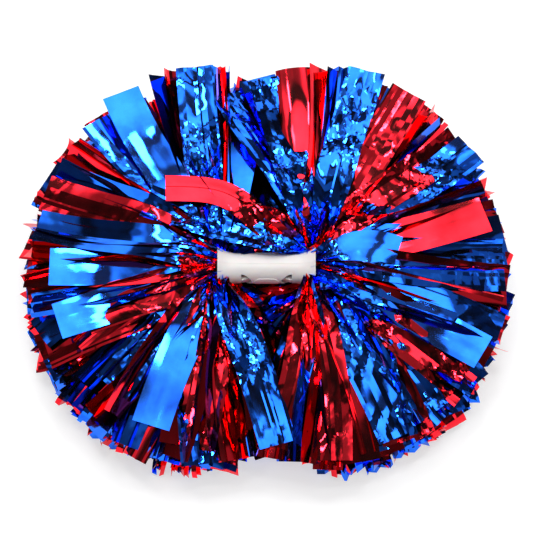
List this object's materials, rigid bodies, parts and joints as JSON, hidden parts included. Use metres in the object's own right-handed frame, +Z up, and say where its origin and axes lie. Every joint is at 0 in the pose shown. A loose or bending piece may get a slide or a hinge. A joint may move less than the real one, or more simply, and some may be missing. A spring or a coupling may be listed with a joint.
{
  "type": "cheer pom pom",
  "caption": "Hand pom pom: a hollow baton handle with a dense tuft of wide blue and red metallic foil strands at each end, lying splayed open with the grip uppermost.",
  "frame": {"origin": "on the surface that the pom pom lies on, below the middle of the handle", "axes": "X along the handle, Y across it, +Z up"},
  "size_m": [0.3696, 0.3006, 0.0787],
  "materials": {
    "white_plastic": "satin",
    "tie_plastic": "satin",
    "core_foil": "gloss",
    "blue_foil": "gloss",
    "red_foil": "gloss"
  },
  "bodies": {
    "handle": {"handle_tube": "white_plastic", "end_plug_left": "white_plastic", "end_plug_right": "white_plastic", "cable_tie_left": "tie_plastic", "cable_tie_right": "tie_plastic", "strand_core_left": "core_foil", "strand_core_right": "core_foil", "under_hand_blue_left": "blue_foil", "under_hand_blue_right": "blue_foil", "under_hand_red_left": "red_foil", "under_hand_red_right": "red_foil"},
    "top_lock_left_1": {"top_blue_left_1": "blue_foil", "top_red_left_1": "red_foil"},
    "top_lock_left_2": {"top_blue_left_2": "blue_foil", "top_red_left_2": "red_foil"},
    "top_lock_left_3": {"top_blue_left_3": "blue_foil", "top_red_left_3": "red_foil"},
    "top_lock_left_4": {"top_blue_left_4": "blue_foil", "top_red_left_4": "red_foil"},
    "top_lock_left_5": {"top_blue_left_5": "blue_foil", "top_red_left_5": "red_foil"},
    "top_lock_left_6": {"top_blue_left_6": "blue_foil", "top_red_left_6": "red_foil"},
    "bottom_lock_left_1": {"bottom_blue_left_1": "blue_foil", "bottom_red_left_1": "red_foil"},
    "bottom_lock_left_2": {"bottom_blue_left_2": "blue_foil", "bottom_red_left_2": "red_foil"},
    "bottom_lock_left_3": {"bottom_blue_left_3": "blue_foil", "bottom_red_left_3": "red_foil"},
    "bottom_lock_left_4": {"bottom_blue_left_4": "blue_foil", "bottom_red_left_4": "red_foil"},
    "bottom_lock_left_5": {"bottom_blue_left_5": "blue_foil", "bottom_red_left_5": "red_foil"},
    "top_lock_right_1": {"top_blue_right_1": "blue_foil", "top_red_right_1": "red_foil"},
    "top_lock_right_2": {"top_blue_right_2": "blue_foil", "top_red_right_2": "red_foil"},
    "top_lock_right_3": {"top_blue_right_3": "blue_foil", "top_red_right_3": "red_foil"},
    "top_lock_right_4": {"top_blue_right_4": "blue_foil", "top_red_right_4": "red_foil"},
    "top_lock_right_5": {"top_blue_right_5": "blue_foil", "top_red_right_5": "red_foil"},
    "top_lock_right_6": {"top_blue_right_6": "blue_foil", "top_red_right_6": "red_foil"},
    "bottom_lock_right_1": {"bottom_blue_right_1": "blue_foil", "bottom_red_right_1": "red_foil"},
    "bottom_lock_right_2": {"bottom_blue_right_2": "blue_foil", "bottom_red_right_2": "red_foil"},
    "bottom_lock_right_3": {"bottom_blue_right_3": "blue_foil", "bottom_red_right_3": "red_foil"},
    "bottom_lock_right_4": {"bottom_blue_right_4": "blue_foil", "bottom_red_right_4": "red_foil"},
    "bottom_lock_right_5": {"bottom_blue_right_5": "blue_foil", "bottom_red_right_5": "red_foil"}
  },
  "joints": [
    {"name": "top_flex_left_1", "type": "hinge", "parent": "handle", "child": "top_lock_left_1", "pos_m": [-0.042, 0, 0.062], "axis": [-1, 0, 0], "range_deg": [0, 35]},
    {"name": "top_flex_left_2", "type": "hinge", "parent": "handle", "child": "top_lock_left_2", "pos_m": [-0.042, 0, 0.062], "axis": [-0.809, 0.5878, 0], "range_deg": [0, 35]},
    {"name": "top_flex_left_3", "type": "hinge", "parent": "handle", "child": "top_lock_left_3", "pos_m": [-0.042, 0, 0.062], "axis": [-0.309, 0.9511, 0], "range_deg": [0, 35]},
    {"name": "top_flex_left_4", "type": "hinge", "parent": "handle", "child": "top_lock_left_4", "pos_m": [-0.042, 0, 0.062], "axis": [0.309, 0.9511, 0], "range_deg": [0, 35]},
    {"name": "top_flex_left_5", "type": "hinge", "parent": "handle", "child": "top_lock_left_5", "pos_m": [-0.042, 0, 0.062], "axis": [0.809, 0.5878, 0], "range_deg": [0, 35]},
    {"name": "top_flex_left_6", "type": "hinge", "parent": "handle", "child": "top_lock_left_6", "pos_m": [-0.042, 0, 0.062], "axis": [1, 0, 0], "range_deg": [0, 35]},
    {"name": "bottom_flex_left_1", "type": "hinge", "parent": "handle", "child": "bottom_lock_left_1", "pos_m": [-0.042, 0, 0.062], "axis": [-0.9511, 0.309, 0], "range_deg": [-25, 0]},
    {"name": "bottom_flex_left_2", "type": "hinge", "parent": "handle", "child": "bottom_lock_left_2", "pos_m": [-0.042, 0, 0.062], "axis": [-0.5878, 0.809, 0], "range_deg": [-25, 0]},
    {"name": "bottom_flex_left_3", "type": "hinge", "parent": "handle", "child": "bottom_lock_left_3", "pos_m": [-0.042, 0, 0.062], "axis": [0, 1, 0], "range_deg": [-25, 0]},
    {"name": "bottom_flex_left_4", "type": "hinge", "parent": "handle", "child": "bottom_lock_left_4", "pos_m": [-0.042, 0, 0.062], "axis": [0.5878, 0.809, 0], "range_deg": [-25, 0]},
    {"name": "bottom_flex_left_5", "type": "hinge", "parent": "handle", "child": "bottom_lock_left_5", "pos_m": [-0.042, 0, 0.062], "axis": [0.9511, 0.309, 0], "range_deg": [-25, 0]},
    {"name": "top_flex_right_1", "type": "hinge", "parent": "handle", "child": "top_lock_right_1", "pos_m": [0.042, 0, 0.062], "axis": [-1, 0, 0], "range_deg": [0, 35]},
    {"name": "top_flex_right_2", "type": "hinge", "parent": "handle", "child": "top_lock_right_2", "pos_m": [0.042, 0, 0.062], "axis": [-0.809, -0.5878, 0], "range_deg": [0, 35]},
    {"name": "top_flex_right_3", "type": "hinge", "parent": "handle", "child": "top_lock_right_3", "pos_m": [0.042, 0, 0.062], "axis": [-0.309, -0.9511, 0], "range_deg": [0, 35]},
    {"name": "top_flex_right_4", "type": "hinge", "parent": "handle", "child": "top_lock_right_4", "pos_m": [0.042, 0, 0.062], "axis": [0.309, -0.9511, 0], "range_deg": [0, 35]},
    {"name": "top_flex_right_5", "type": "hinge", "parent": "handle", "child": "top_lock_right_5", "pos_m": [0.042, 0, 0.062], "axis": [0.809, -0.5878, 0], "range_deg": [0, 35]},
    {"name": "top_flex_right_6", "type": "hinge", "parent": "handle", "child": "top_lock_right_6", "pos_m": [0.042, 0, 0.062], "axis": [1, 0, 0], "range_deg": [0, 35]},
    {"name": "bottom_flex_right_1", "type": "hinge", "parent": "handle", "child": "bottom_lock_right_1", "pos_m": [0.042, 0, 0.062], "axis": [-0.9511, -0.309, 0], "range_deg": [-25, 0]},
    {"name": "bottom_flex_right_2", "type": "hinge", "parent": "handle", "child": "bottom_lock_right_2", "pos_m": [0.042, 0, 0.062], "axis": [-0.5878, -0.809, 0], "range_deg": [-25, 0]},
    {"name": "bottom_flex_right_3", "type": "hinge", "parent": "handle", "child": "bottom_lock_right_3", "pos_m": [0.042, 0, 0.062], "axis": [0, -1, 0], "range_deg": [-25, 0]},
    {"name": "bottom_flex_right_4", "type": "hinge", "parent": "handle", "child": "bottom_lock_right_4", "pos_m": [0.042, 0, 0.062], "axis": [0.5878, -0.809, 0], "range_deg": [-25, 0]},
    {"name": "bottom_flex_right_5", "type": "hinge", "parent": "handle", "child": "bottom_lock_right_5", "pos_m": [0.042, 0, 0.062], "axis": [0.9511, -0.309, 0], "range_deg": [-25, 0]}
  ]
}
